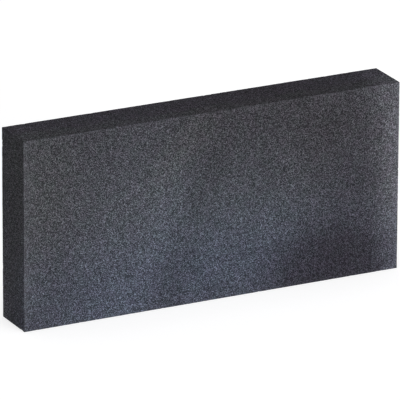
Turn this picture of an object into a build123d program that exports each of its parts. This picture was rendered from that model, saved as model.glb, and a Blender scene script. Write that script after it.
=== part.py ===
from build123d import *
import os

# Sharpening whetstone for carving and whittling blades: one plain rectangular block of
# bonded abrasive, ground true on all six faces, with every arris lightly eased so that it
# neither crumbles nor catches the hand.
#
# Frame, in millimetres: the stone stands on its long narrow edge. +X runs along its length,
# +Y through its thickness, from the front honing face to the back one, and +Z up across
# its width. The origin is the middle of the edge face that it rests on.

# Driving dimensions
STONE_WIDTH = 50.0  # across the honing faces, and the height as it stands
LENGTH_PER_WIDTH = 2.1  # the blank's proportions, kept in every size of this pattern
THICKNESS_PER_WIDTH = 0.25
ARRIS_EASE = 0.3  # leg of the small 45 degree chamfer rubbed on each arris

# Worked out from them
STONE_LENGTH = STONE_WIDTH * LENGTH_PER_WIDTH
STONE_THICKNESS = STONE_WIDTH * THICKNESS_PER_WIDTH

# The block: the outline of a honing face, pulled to both sides by half the thickness.
with BuildPart() as whetstone_block:
    with BuildSketch(Plane.XZ) as honing_face:
        Rectangle(STONE_LENGTH, STONE_WIDTH, align=(Align.CENTER, Align.MIN))
    extrude(amount=STONE_THICKNESS / 2, both=True)
    chamfer(whetstone_block.edges(), length=ARRIS_EASE)

whetstone_block.part.label = "whetstone_block"

os.makedirs("parts", exist_ok=True)
export_step(whetstone_block.part, "parts/whetstone_block.step")
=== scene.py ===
"""A sharpening whetstone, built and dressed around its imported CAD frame.

The stone is one fired block of bonded abrasive that stands on its long narrow edge. The CAD
block gives its place and size, and the block made here stands in for it with the surface that
handling and honing leave: open grain, fine pits, and arrises that are eased and nicked.
Everything is in metres, in the frame of the CAD model.
"""

import logging
import math
import random
from dataclasses import dataclass
from enum import Enum
from typing import ClassVar

import bpy
import numpy as np
from mathutils import Matrix, Vector, noise


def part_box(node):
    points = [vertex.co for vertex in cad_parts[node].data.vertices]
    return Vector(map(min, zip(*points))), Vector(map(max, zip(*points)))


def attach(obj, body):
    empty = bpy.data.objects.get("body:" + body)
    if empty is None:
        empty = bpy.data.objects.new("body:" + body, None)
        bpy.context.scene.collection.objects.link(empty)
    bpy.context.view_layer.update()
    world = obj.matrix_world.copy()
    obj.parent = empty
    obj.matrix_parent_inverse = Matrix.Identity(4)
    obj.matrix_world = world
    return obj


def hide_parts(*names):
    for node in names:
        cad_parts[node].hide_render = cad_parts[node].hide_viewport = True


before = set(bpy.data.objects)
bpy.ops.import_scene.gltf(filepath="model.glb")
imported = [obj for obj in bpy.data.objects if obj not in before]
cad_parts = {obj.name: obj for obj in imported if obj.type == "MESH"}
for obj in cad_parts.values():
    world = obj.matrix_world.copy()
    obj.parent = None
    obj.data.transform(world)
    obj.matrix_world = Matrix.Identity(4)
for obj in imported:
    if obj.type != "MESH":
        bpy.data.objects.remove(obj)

log = logging.getLogger("whetstone")

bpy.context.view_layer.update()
BODY = "root"
NODE = "whetstone_block"
MM = 0.001
# The range that soft noise mostly keeps to.
NOISE_RANGE = (0.3, 0.7)

Triple = tuple[float, float, float]
Colour = Triple
Value = bpy.types.NodeSocket | float | Triple | Vector


class Side(Enum):
    """The six faces of the block: the axis each one looks along, and its end of that axis."""

    LEFT_END = (0, 0)
    RIGHT_END = (0, 1)
    FRONT = (1, 0)
    BACK = (1, 1)
    BOTTOM = (2, 0)
    TOP = (2, 1)


class Blending(Enum):
    """How one colour is laid over another."""

    MIX = "MIX"
    MULTIPLY = "MULTIPLY"


def grey(level: float) -> Colour:
    """Return a neutral colour of that level."""
    return (level, level, level)


@dataclass(frozen=True)
class Cells:
    """Irregular cells that fill the solid.

    Each has its distance from its own centre, in spacings, and two random numbers from 0 to 1.
    """

    distance: bpy.types.NodeSocket
    tone: bpy.types.NodeSocket
    gloss: bpy.types.NodeSocket


class NodeBench:
    """Adds the nodes of one tree and joins their sockets."""

    def __init__(self, tree: bpy.types.NodeTree) -> None:
        """Empty the node tree of a material or a world, and keep it."""
        tree.nodes.clear()
        self.tree = tree

    def plug(self, value: Value, socket: bpy.types.NodeSocket) -> None:
        """Feed a socket from another one, or set it to a fixed value.

        Args:
            value: a socket to link from, a number, a colour or a vector.
            socket: the input to feed.
        """
        if isinstance(value, bpy.types.NodeSocket):
            self.tree.links.new(value, socket)
        elif socket.type == "RGBA":
            socket.default_value = (*value, 1.0)
        else:
            socket.default_value = value

    def add(self, kind: str, inputs: dict[str | int, Value], **settings: object) -> bpy.types.Node:
        """Add one node.

        Args:
            kind: the node's type, without its ShaderNode prefix.
            inputs: what to feed to each input, by its name or its place.
            settings: the node's own options.

        Returns:
            The new node.
        """
        node = self.tree.nodes.new("ShaderNode" + kind)
        for name, value in settings.items():
            setattr(node, name, value)
        for name, value in inputs.items():
            self.plug(value, node.inputs[name])
        return node

    def math(
        self, operation: str, a: Value, b: Value, c: Value = 0.0, clamp: bool = False
    ) -> bpy.types.NodeSocket:
        """Join two or three numbers, keep the result from 0 to 1 if clamp is set, and return its socket."""
        return self.add("Math", {0: a, 1: b, 2: c}, operation=operation, use_clamp=clamp).outputs[0]

    def ramp(
        self, value: Value, low: float, high: float, start: float = 0.0, end: float = 1.0
    ) -> bpy.types.NodeSocket:
        """Map low to start and high to end, smoothly between and level beyond, and return the socket."""
        inputs = {"Value": value, "From Min": low, "From Max": high, "To Min": start, "To Max": end}
        return self.add("MapRange", inputs, interpolation_type="SMOOTHSTEP").outputs[0]

    def lay(
        self, under: Value, over: Value, amount: Value, blending: Blending = Blending.MIX
    ) -> bpy.types.NodeSocket:
        """Lay one colour over another.

        Args:
            under: the colour below.
            over: the colour above.
            amount: how much of the upper one shows, from 0 to 1.
            blending: how it is laid on.

        Returns:
            The resulting colour's socket.
        """
        inputs = {"Factor_Float": amount, "A_Color": under, "B_Color": over}
        node = self.add("Mix", {}, data_type="RGBA", blend_type=blending.value)
        sockets = {socket.identifier: socket for socket in node.inputs}
        for name, value in inputs.items():
            self.plug(value, sockets[name])
        return next(socket for socket in node.outputs if socket.type == "RGBA")

    def cells(self, where: bpy.types.NodeSocket, size: float) -> Cells:
        """Break the solid into irregular cells.

        Args:
            where: the coordinates.
            size: the cells' usual spacing.

        Returns:
            The cells.
        """
        voronoi = self.add("TexVoronoi", {"Vector": where, "Scale": 1.0 / size})
        split = self.add("SeparateColor", {0: voronoi.outputs["Color"]})
        return Cells(voronoi.outputs["Distance"], split.outputs[0], split.outputs[2])

    def clouds(self, where: bpy.types.NodeSocket, size: float, detail: float = 2.0) -> bpy.types.NodeSocket:
        """Return soft noise, about 0.5 on average, whose largest features are that size."""
        return self.add("TexNoise", {"Vector": where, "Scale": 1.0 / size, "Detail": detail}).outputs[0]

    def drift(self, where: bpy.types.NodeSocket, size: float, amount: float) -> bpy.types.NodeSocket:
        """Push the coordinates about with soft noise, so that what they place gets ragged edges.

        Args:
            where: the coordinates.
            size: the spacing of the noise's largest features.
            amount: the most a point moves along each axis, both ways together.

        Returns:
            The moved coordinates.
        """
        noise_node = self.add("TexNoise", {"Vector": where, "Scale": 1.0 / size, "Detail": 3.0})
        push = self.add("VectorMath", {0: noise_node.outputs["Color"], 1: grey(0.5)}, operation="SUBTRACT")
        inputs = {0: push.outputs[0], 1: grey(amount), 2: where}
        return self.add("VectorMath", inputs, operation="MULTIPLY_ADD").outputs[0]


@dataclass(frozen=True)
class Patch:
    """A soft-edged zone of the stone with its own tone or with painted light or shade, placed from the
    middle of the foot.
    """

    name: str
    centre: Triple
    reach: Triple
    tint: Colour
    lean: float = 0.0
    core: float = 0.2

    def share(self, bench: NodeBench, where: bpy.types.NodeSocket) -> bpy.types.NodeSocket:
        """Say how much of the patch shows.

        Args:
            bench: the material's bench.
            where: the coordinates.

        Returns:
            A number from 1 in the core to 0 at the reach.
        """
        inputs = {
            "Vector": where,
            "Location": Vector(self.centre) * MM,
            "Rotation": (0.0, math.radians(self.lean), 0.0),
            "Scale": Vector(self.reach) * MM,
        }
        local = bench.add("Mapping", inputs, label=self.name, vector_type="TEXTURE").outputs[0]
        distance = bench.add("VectorMath", {0: local}, operation="LENGTH").outputs["Value"]
        return bench.ramp(distance, self.core, 1.0, 1.0, 0.0)


# Patches of tone on the stone, many of them painted light and shade as marked below. Each has its
# centre and its reach along the three axes, in millimetres, and its tint. The lean is how many
# degrees the patch's top tips to the right.
STAINS_AND_PAINTED_LIGHT = (
    # Painted bluish light from below, over the lower part of the broad faces.
    Patch("painted_blue_underlight", (0, -6, -2), (120, 14, 33), (1.01, 1.07, 1.22)),
    # Painted sheen, pale and bluish, on the left and middle of the front.
    Patch("painted_sheen_left", (-23, -6, 14), (30, 12, 45), (1.35, 1.44, 1.48), lean=9),
    Patch("painted_sheen_middle", (8, -6, 21), (32, 12, 33), (1.26, 1.36, 1.40)),
    # A dark and a pale streak, slanting across the front.
    Patch("dark_streak", (-11, -6, 8), (9, 8, 55), (0.79, 0.77, 0.76), lean=20),
    Patch("pale_streak", (-9, -6, 41), (7, 8, 19), (1.11, 1.11, 1.06), lean=45),
    Patch("dull_shoulder", (18, -6, 43), (40, 36, 24), (0.86, 0.83, 0.82)),
    # Darker towards the lower right of the front.
    Patch("dark_lower_right", (32.3, -6, 3), (25.5, 12, 17), (0.59, 0.53, 0.54), core=0.3),
    Patch("dull_flank", (38, -6, 24), (13, 8, 19), (0.91, 0.91, 0.95)),
    # Painted light from the right, paler towards the right end of the front and the top.
    Patch("painted_light_right_end", (53.4, -6, 26), (11, 43, 60), (1.95, 1.95, 1.93), lean=-2.5, core=0.1),
    # Painted light from the floor, paler at the foot of the left end, towards its front.
    Patch("painted_floor_light_end_front", (-51, -8, 14), (8, 7, 28), (1.20, 1.24, 1.24)),
    Patch("pale_foot", (-20, -6, 0), (24, 8, 10), (1.09, 1.09, 1.09)),
    # Painted light from the floor, paler at the foot of the left end, towards its back.
    Patch("painted_floor_light_end_back", (-52, 7, 4), (6, 8, 24), (1.26, 1.26, 1.24)),
    Patch("clean_shoulder", (-47, -6, 41), (12, 20, 27), (1.14, 1.17, 1.11), core=0.1),
    # Painted shade along the top, darker and a little violet.
    Patch("painted_shade_top", (0, 7, 54), (110, 12.5, 8), (0.90, 0.84, 0.93), core=0.8),
)


@dataclass(frozen=True)
class BondedAbrasive:
    """The finish of the stone: dark silicon carbide grains in a paler bond, with open pores, and painted
    light and shade laid over it.
    """

    stains_and_painted_light: tuple[Patch, ...] = STAINS_AND_PAINTED_LIGHT

    # The grains: their spacings, and how much longer they are through the thickness.
    grain: float = 0.15 * MM
    fine_grain: float = 0.10 * MM
    cluster: float = 0.8 * MM
    pressing: float = 1.8

    # How much each layer of grains sways the tone, round a middle, and how few grains are pale.
    grain_sway: float = 1.0
    fine_sway: float = 0.9
    cluster_sway: float = 0.3
    cluster_base: float = 0.30
    paleness_power: float = 3.5
    dark_grain: Colour = (0.0100, 0.0100, 0.0113)
    pale_grain: Colour = (0.117, 0.117, 0.135)

    # The pores: their spacing, the range of distances that is their edge, which cells have one, and the
    # painted shade inside them: how much of it shows, and its colour.
    pore_spacing: float = 0.70 * MM
    pore_edge: tuple[float, float] = (0.14, 0.28)
    pore_cells: tuple[float, float] = (0.55, 0.6)
    pore_shade_show: float = 0.3
    pore_shade: Colour = (0.005, 0.005, 0.006)

    # The slow changes of tone.
    hue_drift: float = 3.0 * MM
    warm_tint: Colour = (1.03, 0.985, 1.03)
    cool_tint: Colour = (0.97, 1.015, 0.99)
    mottle: float = 9.0 * MM
    mottle_range: tuple[float, float] = (0.95, 1.05)
    ragged: float = 5.0 * MM
    ragged_push: float = 4.0 * MM

    # The ends' painted shade, from the foot up to the full height, lightest at the foot as painted light
    # from the floor; and the colour of the rubbed rims, which is wear and painted highlight.
    end_shade_foot: Colour = (0.82, 0.82, 0.86)
    end_shade_head: Colour = (0.67, 0.67, 0.68)
    end_shade_height: float = 50.0 * MM
    rubbed_and_highlit: Colour = (0.095, 0.096, 0.108)
    rubbed_and_highlit_show: float = 0.35

    # The gloss and the relief.
    specular: float = 0.08
    roughness: float = 0.86
    glossy_roughness: float = 0.5
    glossy_cells: tuple[float, float] = (0.85, 1.0)
    grain_lift: float = 0.5
    fine_dip: float = 0.5
    pore_dip: float = 1.2
    relief_strength: float = 0.7
    relief_height: float = 0.02 * MM

    def dress(self) -> bpy.types.Material:
        """Make the material.

        Returns:
            The finished material.
        """
        material = bpy.data.materials.new("bonded_abrasive")
        material.use_nodes = True
        bench = NodeBench(material.node_tree)
        where = bench.add("TexCoord", {}).outputs["Object"]
        squeeze = (1.0, 1.0 / self.pressing, 1.0)
        pressed = bench.add("VectorMath", {0: where, 1: squeeze}, operation="MULTIPLY").outputs[0]
        grain = bench.cells(pressed, self.grain)
        fine = bench.cells(pressed, self.fine_grain)
        pores = self._pores(bench, where)

        colour = self._speckle(bench, where, grain, fine)
        # Painted shade in the pores.
        colour = bench.lay(colour, self.pore_shade, bench.math("MULTIPLY", pores, self.pore_shade_show))
        # The patches of tone, many of them painted light and shade.
        colour = self._stain_and_paint_light(bench, where, colour)
        # Rubbed wear and painted highlight along the rims of the broad faces.
        wear_and_highlight = bench.add("Attribute", {}, attribute_name="wear_and_highlight").outputs["Fac"]
        colour = bench.lay(colour, self.rubbed_and_highlit, bench.math("MULTIPLY", wear_and_highlight, self.rubbed_and_highlit_show))

        inputs = {
            "Base Color": colour,
            "Roughness": bench.ramp(grain.gloss, *self.glossy_cells, self.roughness, self.glossy_roughness),
            "Normal": self._relief(bench, grain, fine, pores),
            "Specular IOR Level": self.specular,
        }
        shader = bench.add("BsdfPrincipled", inputs)
        bench.plug(shader.outputs[0], bench.add("OutputMaterial", {}).inputs[0])
        return material

    def _speckle(
        self, bench: NodeBench, where: bpy.types.NodeSocket, grain: Cells, fine: Cells
    ) -> bpy.types.NodeSocket:
        """Give each grain its tone.

        Args:
            bench: the material's bench.
            where: the coordinates.
            grain: the grains.
            fine: the finer grit between them.

        Returns:
            The colour of the bare stone.
        """
        clouds = bench.clouds(where, self.cluster, detail=1.0)
        coarse_part = bench.math("MULTIPLY_ADD", grain.tone, self.grain_sway, -self.grain_sway / 2)
        fine_part = bench.math("MULTIPLY_ADD", fine.tone, self.fine_sway, -self.fine_sway / 2)
        cluster_part = bench.math("MULTIPLY_ADD", clouds, self.cluster_sway, self.cluster_base)
        grains = bench.math("ADD", coarse_part, fine_part)
        level = bench.math("ADD", grains, cluster_part, clamp=True)
        paleness = bench.math("POWER", level, self.paleness_power)
        colour = bench.lay(self.dark_grain, self.pale_grain, paleness)
        hue = bench.clouds(where, self.hue_drift, detail=1.0)
        tint = bench.lay(self.warm_tint, self.cool_tint, bench.ramp(hue, *NOISE_RANGE))
        return bench.lay(colour, tint, 1.0, Blending.MULTIPLY)

    def _pores(self, bench: NodeBench, where: bpy.types.NodeSocket) -> bpy.types.NodeSocket:
        """Scatter small open pores.

        Args:
            bench: the material's bench.
            where: the coordinates.

        Returns:
            A number that is 1 inside the pores and 0 outside.
        """
        cells = bench.cells(where, self.pore_spacing)
        hollow = bench.ramp(cells.distance, *self.pore_edge, 1.0, 0.0)
        return bench.math("MULTIPLY", hollow, bench.ramp(cells.tone, *self.pore_cells))

    def _stain_and_paint_light(
        self, bench: NodeBench, where: bpy.types.NodeSocket, colour: bpy.types.NodeSocket
    ) -> bpy.types.NodeSocket:
        """Lay the slow changes of tone over the stone: a faint mottle, painted shade on the ends that
        lightens towards the foot as painted light from the floor, then the patches of tone and painted
        light and shade.

        Args:
            bench: the material's bench.
            where: the coordinates.
            colour: the bare stone's colour.

        Returns:
            The colour with its mottle, painted light and shade.
        """
        clouds = bench.clouds(where, self.mottle, detail=3.0)
        darkest, palest = self.mottle_range
        tint = bench.lay(grey(darkest), grey(palest), bench.ramp(clouds, *NOISE_RANGE))
        colour = bench.lay(colour, tint, 1.0, Blending.MULTIPLY)
        # Painted shade on the ends, lighter towards the foot as painted light from the floor.
        height = bench.add("SeparateXYZ", {0: where}).outputs["Z"]
        tint = bench.lay(self.end_shade_foot, self.end_shade_head, bench.ramp(height, 0.0, self.end_shade_height))
        end_shade = bench.add("Attribute", {}, attribute_name="end_shade").outputs["Fac"]
        colour = bench.lay(colour, tint, end_shade, Blending.MULTIPLY)
        ragged = bench.drift(where, self.ragged, self.ragged_push)
        # Patches of tone, many of them painted light and shade.
        for tone_patch in self.stains_and_painted_light:
            colour = bench.lay(colour, tone_patch.tint, tone_patch.share(bench, ragged), Blending.MULTIPLY)
        return colour

    def _relief(
        self, bench: NodeBench, grain: Cells, fine: Cells, pores: bpy.types.NodeSocket
    ) -> bpy.types.NodeSocket:
        """Raise the grains and sink the pores.

        Args:
            bench: the material's bench.
            grain: the grains.
            fine: the finer grit between them.
            pores: where the pores are.

        Returns:
            The surface normal.
        """
        grains = bench.math("SUBTRACT", bench.math("MULTIPLY", grain.tone, self.grain_lift), grain.distance)
        grit = bench.math("ADD", grains, bench.math("MULTIPLY", fine.distance, -self.fine_dip))
        height = bench.math("SUBTRACT", grit, bench.math("MULTIPLY", pores, self.pore_dip))
        inputs = {"Height": height, "Strength": self.relief_strength, "Distance": self.relief_height}
        return bench.add("Bump", inputs).outputs[0]


@dataclass
class WhetstoneBlock:
    """The stone: a closed block of fine quads, eased, nicked and pitted like a used one."""

    low: Vector
    high: Vector
    finish: BondedAbrasive

    # The spacing of the quads, the seed of all that is random, and how near a face is on it.
    spacing: float = 0.43 * MM
    seed: int = 71
    flush: float = 0.02 * MM

    # The rounding of the arrises, and how it wanders along them.
    ease: float = 0.12 * MM
    ease_spread: float = 0.05 * MM
    ease_wander: float = 7.0 * MM

    # The nicks: how far apart they are, their sizes, how uneven their walls are, and how far
    # from a nick's centre its points are looked for, in radii.
    nick_every: float = 5.5 * MM
    nick_radius: tuple[float, float] = (0.35 * MM, 1.2 * MM)
    nick_depth: tuple[float, float] = (0.08 * MM, 0.22 * MM)
    nick_share: tuple[float, float] = (0.5, 1.0)
    nick_unevenness: float = 0.22
    nick_grain: float = 0.45 * MM
    nick_search: float = 1.3

    # The relief of the faces, in units of grain_relief, and their pits.
    grain_relief: float = 0.008 * MM
    relief_middle: float = 2.5
    relief_swell: float = 0.9
    swell_size: float = 2.2 * MM
    pit_depth: float = 0.07 * MM
    pit_depth_share: tuple[float, float] = (0.4, 1.0)
    pit_share: float = 0.02

    # The wear and painted highlight: how much there is at the rims and the ends, how far in it reaches,
    # how it varies, and how deep a nick has to be to have lost it.
    rim_share: float = 0.4
    rim_wear: float = 0.45 * MM
    end_share: float = 0.6
    end_wear: float = 1.6 * MM
    wear_middle: float = 0.75
    wear_sway: float = 0.6
    wear_patch: float = 3.0 * MM
    fresh_cut: float = 0.08 * MM

    # Stations near an arris, as distances from it: close together, so that its curve is round.
    RIM: ClassVar[tuple[float, ...]] = tuple(
        step * MM for step in (0.0, 0.05, 0.11, 0.18, 0.26, 0.37, 0.52, 0.72, 1.0, 1.38)
    )

    def stations(self, axis: int) -> np.ndarray:
        """Return where the lattice lines cross one axis, close together at both ends.

        Args:
            axis: 0, 1 or 2 for X, Y or Z.

        Returns:
            The rising coordinates from the block's low side to its high side.
        """
        rim = np.array(self.RIM)
        length = self.high[axis] - self.low[axis]
        inner = length - 2 * rim[-1]
        steps = max(1, round(inner / self.spacing))
        middle = rim[-1] + inner * np.arange(1, steps) / steps
        return self.low[axis] + np.concatenate([rim, middle, (length - rim)[::-1]])

    def lattice(self) -> tuple[np.ndarray, np.ndarray]:
        """Lay a lattice over all six faces, with shared points along the arrises.

        Returns:
            The points, and the quads as rows of four point numbers, facing outwards.
        """
        lines = [self.stations(axis) for axis in range(3)]
        counts = [len(line) for line in lines]
        on_skin = np.ones(counts, bool)
        on_skin[1:-1, 1:-1, 1:-1] = False
        number = np.full(counts, -1)
        number[on_skin] = np.arange(on_skin.sum())
        places = np.argwhere(on_skin)
        points = np.stack([lines[axis][places[:, axis]] for axis in range(3)], axis=1)
        quads = [self._quads(number, side) for side in Side]
        return points, np.concatenate(quads)

    @staticmethod
    def _quads(number: np.ndarray, side: Side) -> np.ndarray:
        """Join one face's points into quads.

        Args:
            number: the point numbers by place on the lattice.
            side: which face.

        Returns:
            Rows of four point numbers, counter-clockwise seen from outside.
        """
        axis, end = side.value
        layer = np.moveaxis(number, axis, 0)[-end]
        rows = np.stack([layer[:-1, :-1], layer[1:, :-1], layer[1:, 1:], layer[:-1, 1:]], axis=-1)
        rows = rows.reshape(-1, 4)
        inward = (axis == 1) == bool(end)
        return rows[:, ::-1] if inward else rows

    def soften(self, points: np.ndarray) -> tuple[np.ndarray, np.ndarray]:
        """Round the arrises by a radius that wanders along them.

        Args:
            points: the lattice points on the sharp block.

        Returns:
            The softened points, and the outward normal at each.
        """
        drift = self.field(points, self.ease_wander)
        radius = (self.ease + self.ease_spread * drift)[:, None]
        middle = np.array((self.low + self.high) / 2)
        half = np.array((self.high - self.low) / 2)
        core = np.clip(points - middle, radius - half, half - radius)
        outward = points - middle - core
        outward /= np.linalg.norm(outward, axis=1, keepdims=True)
        return middle + core + radius * outward, outward

    def field(self, points: np.ndarray, size: float, octaves: int = 1) -> np.ndarray:
        """Sample smooth noise at points.

        Args:
            points: where.
            size: the spacing of its features.
            octaves: how many layers, each twice as fine as the last and half as strong.

        Returns:
            One number for each point, mostly from -1 to 1.
        """
        scaled = (points / size + self.seed).tolist()
        if octaves == 1:
            return np.array([noise.noise(p) for p in scaled])
        return np.array([noise.fractal(p, 1.0, 2.0, octaves) for p in scaled])

    def nicks(self) -> list[tuple[np.ndarray, float]]:
        """Scatter small scoops along the twelve arrises.

        Returns:
            Each scoop's centre, which lies outside the stone, and its radius.
        """
        draw = random.Random(self.seed)
        low, high = np.array(self.low), np.array(self.high)
        found = []
        for along in range(3):
            across = [axis for axis in range(3) if axis != along]
            count = round((high[along] - low[along]) / self.nick_every)
            for ends in ((0, 0), (0, 1), (1, 0), (1, 1)):
                for _ in range(count):
                    spot = low.copy()
                    spot[along] = draw.uniform(low[along], high[along])
                    outward = np.zeros(3)
                    for axis, end in zip(across, ends):
                        spot[axis] = high[axis] if end else low[axis]
                        outward[axis] = (2 * end - 1) / math.sqrt(2)
                    radius = draw.uniform(*self.nick_radius)
                    depth = draw.uniform(*self.nick_depth) * draw.uniform(*self.nick_share)
                    found.append((spot + outward * (radius - depth), radius))
        return found

    def scoop(self, points: np.ndarray) -> tuple[np.ndarray, np.ndarray]:
        """Cut the nicks out of the block.

        Args:
            points: the softened points.

        Returns:
            The points after cutting, and how deep each was cut.
        """
        points = points.copy()
        start = points.copy()
        rough = 1 + self.nick_unevenness * self.field(points, self.nick_grain)
        for centre, radius in self.nicks():
            near = np.flatnonzero(np.abs(points - centre).max(axis=1) < self.nick_search * radius)
            offset = points[near] - centre
            distance = np.linalg.norm(offset, axis=1)
            reach = radius * rough[near]
            inside = distance < reach
            push = offset[inside] * (reach[inside] / distance[inside])[:, None]
            points[near[inside]] = centre + push
        return points, np.linalg.norm(points - start, axis=1)

    def roughen(self, points: np.ndarray, outward: np.ndarray) -> np.ndarray:
        """Give the faces their grain and their pits, all of it cut inwards.

        Args:
            points: the points so far.
            outward: the normal at each.

        Returns:
            The finished points.
        """
        draw = np.random.default_rng(self.seed)
        swell = self.field(points, self.swell_size, octaves=3)
        jitter = draw.standard_normal(len(points))
        depth = self.grain_relief * (self.relief_middle + self.relief_swell * swell + jitter)
        pits = draw.random(len(points)) < self.pit_share
        depth += pits * self.pit_depth * draw.uniform(*self.pit_depth_share, len(points))
        return points - outward * np.clip(depth, 0.0, None)[:, None]

    def wear_and_highlight(self, points: np.ndarray, cut: np.ndarray) -> np.ndarray:
        """Say how much rubbed wear and painted highlight each point has: only along the rims of the two
        broad faces, most at their ends.

        Args:
            points: the lattice points on the sharp block.
            cut: how deep each was nicked.

        Returns:
            The wear and painted highlight at each point, from 0 to 1.
        """
        to_face = np.minimum(points - np.array(self.low), np.array(self.high) - points)
        to_arris = np.sort(to_face, axis=1)[:, 1]
        uneven = self.wear_middle + self.wear_sway * self.field(points, self.wear_patch, octaves=2)
        rims = self.rim_share * np.exp(-to_arris / self.rim_wear)
        ends = self.end_share * np.exp(-to_face[:, 0] / self.end_wear)
        broad = to_face[:, 1] < self.flush
        return np.clip((rims + ends) * uneven * broad * np.exp(-cut / self.fresh_cut), 0.0, 1.0)

    def end_shade(self, points: np.ndarray) -> np.ndarray:
        """Return 1 for points on the two ends, which get painted shade, and 0 elsewhere."""
        to_end = np.minimum(points[:, 0] - self.low.x, self.high.x - points[:, 0])
        return (to_end < self.flush).astype(float)

    def build(self) -> bpy.types.Object:
        """Make the stone and set it on its body.

        Returns:
            The finished piece.
        """
        flat, quads = self.lattice()
        soft, outward = self.soften(flat)
        nicked, cut = self.scoop(soft)
        points = self.roughen(nicked, outward)
        mesh = bpy.data.meshes.new("stone")
        mesh.from_pydata(points.tolist(), [], quads.tolist())
        for name, values in (("wear_and_highlight", self.wear_and_highlight(flat, cut)), ("end_shade", self.end_shade(flat))):
            mesh.attributes.new(name, "FLOAT", "POINT").data.foreach_set("value", values)
        mesh.shade_smooth()
        mesh.materials.append(self.finish.dress())
        piece = bpy.data.objects.new("stone", mesh)
        bpy.context.scene.collection.objects.link(piece)
        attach(piece, BODY)
        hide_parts(NODE)
        log.info("stone: %d points, %d quads", len(mesh.vertices), len(mesh.polygons))
        return piece


@dataclass
class StudioFloor:
    """The pale sheet that the stone stands on, which glows a little so that shadows stay faint."""

    radius: float = 6.0
    sides: int = 96
    roughness: float = 0.9
    colour: Colour = (0.445, 0.445, 0.45)
    fibre: Colour = (0.48, 0.48, 0.48)
    fibre_size: float = 40.0 * MM
    glow: float = 0.70

    def build(self) -> bpy.types.Object:
        """Make the floor.

        Returns:
            The floor.
        """
        turn = [2 * math.pi * step / self.sides for step in range(self.sides)]
        rim = [(self.radius * math.cos(a), self.radius * math.sin(a), 0.0) for a in turn]
        mesh = bpy.data.meshes.new("floor")
        mesh.from_pydata(rim, [], [tuple(range(self.sides))])
        material = bpy.data.materials.new("pale_sheet")
        material.use_nodes = True
        bench = NodeBench(material.node_tree)
        where = bench.add("TexCoord", {}).outputs["Object"]
        clouds = bench.clouds(where, self.fibre_size, detail=4.0)
        colour = bench.lay(self.colour, self.fibre, clouds)
        inputs = {
            "Base Color": colour,
            "Roughness": self.roughness,
            "Specular IOR Level": 0.0,
            "Emission Color": grey(1.0),
            "Emission Strength": self.glow,
        }
        shader = bench.add("BsdfPrincipled", inputs)
        bench.plug(shader.outputs[0], bench.add("OutputMaterial", {}).inputs[0])
        mesh.materials.append(material)
        floor = bpy.data.objects.new("floor", mesh)
        bpy.context.scene.collection.objects.link(floor)
        log.info("floor: %.0f m across", 2 * self.radius)
        return floor


def direction(azimuth: float, elevation: float) -> Vector:
    """Return the unit vector from the stone's front, turned to its right and up by those degrees."""
    a, e = math.radians(azimuth), math.radians(elevation)
    return Vector((math.sin(a) * math.cos(e), -math.cos(a) * math.cos(e), math.sin(e)))


@dataclass
class SoftBox:
    """A large soft lamp that looks at the stone."""

    name: str
    azimuth: float
    elevation: float
    distance: float
    size: tuple[float, float]
    power: float
    colour: Colour = (1.0, 1.0, 1.0)

    def place(self, target: Vector) -> bpy.types.Object:
        """Hang the lamp.

        Args:
            target: the point it looks at.

        Returns:
            The lamp.
        """
        data = bpy.data.lights.new(self.name, "AREA")
        data.shape = "RECTANGLE"
        data.size, data.size_y = self.size
        data.energy = self.power
        data.color = self.colour
        lamp = bpy.data.objects.new(self.name, data)
        back = direction(self.azimuth, self.elevation)
        lamp.location = target + back * self.distance
        lamp.rotation_euler = back.to_track_quat("Z", "Y").to_euler()
        lamp.visible_camera = False
        bpy.context.scene.collection.objects.link(lamp)
        log.info("lamp %s: %.2f W", self.name, self.power)
        return lamp


LAMPS = (
    SoftBox("key", azimuth=14.0, elevation=6.0, distance=1.3, size=(0.7, 0.5), power=19.6),
    SoftBox("overhead", azimuth=0.0, elevation=84.0, distance=1.2, size=(0.9, 0.9), power=3.3),
    # Beyond the edge of the floor, so that it lights the floor evenly.
    SoftBox("rear", azimuth=180.0, elevation=3.0, distance=7.0, size=(4.0, 0.7), power=230.0),
)


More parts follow.
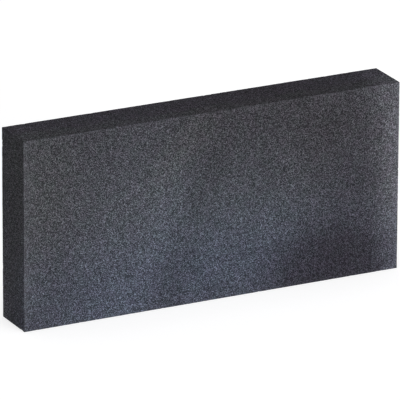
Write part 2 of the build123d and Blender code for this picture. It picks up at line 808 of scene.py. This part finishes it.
@dataclass
class Dome:
    """The white room round the stage: bright behind the stone, dimmer as a light."""

    light: Colour = (0.41, 0.41, 0.42)
    backdrop: float = 1.0

    def build(self) -> bpy.types.World:
        """Make the world and set it on the scene.

        Returns:
            The world.
        """
        world = bpy.data.worlds.new("room")
        world.use_nodes = True
        bench = NodeBench(world.node_tree)
        seen = bench.add("LightPath", {}).outputs["Is Camera Ray"]
        colour = bench.lay(self.light, grey(self.backdrop), seen)
        background = bench.add("Background", {"Color": colour, "Strength": 1.0})
        bench.plug(background.outputs[0], bench.add("OutputWorld", {}).inputs[0])
        bpy.context.scene.world = world
        log.info("room: ambient %.2f", self.light[1])
        return world


@dataclass
class ProductCamera:
    """A long lens, far off to the left of the stone's front and a little above it."""

    azimuth: float = -26.88
    elevation: float = 19.61
    roll: float = 0.26
    distance: float = 1.639
    lens_mm: float = 588.2
    sight: float = 100.0
    aim_right: float = -0.60 * MM
    aim_up: float = -0.35 * MM

    def place(self, target: Vector) -> bpy.types.Object:
        """Set up the camera and make it the scene's.

        Args:
            target: the middle of the stone.

        Returns:
            The camera.
        """
        back = direction(self.azimuth, self.elevation)
        a = math.radians(self.azimuth)
        level = Vector((math.cos(a), math.sin(a), 0.0))
        turn = Matrix.Rotation(math.radians(self.roll), 3, back)
        right = turn @ level
        up = back.cross(right)
        data = bpy.data.cameras.new("camera")
        data.lens = self.lens_mm
        data.clip_end = self.sight
        camera = bpy.data.objects.new("camera", data)
        place = target + back * self.distance + right * self.aim_right + up * self.aim_up
        axes = Matrix((right, up, back)).transposed()
        camera.matrix_world = Matrix.Translation(place) @ axes.to_4x4()
        bpy.context.scene.collection.objects.link(camera)
        bpy.context.scene.camera = camera
        log.info("camera: %.0f mm lens at %.2f m", self.lens_mm, self.distance)
        return camera


def main() -> None:
    """Build the stone, the stage, the lamps and the camera, in that order."""
    logging.basicConfig(level=logging.INFO, format="%(name)s: %(message)s")
    bpy.context.scene.view_settings.view_transform = "Standard"
    low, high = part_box(NODE)
    middle = (low + high) / 2
    WhetstoneBlock(low, high, BondedAbrasive()).build()
    StudioFloor().build()
    Dome().build()
    for lamp in LAMPS:
        lamp.place(middle)
    ProductCamera().place(middle)


if __name__ == "__main__":
    main()
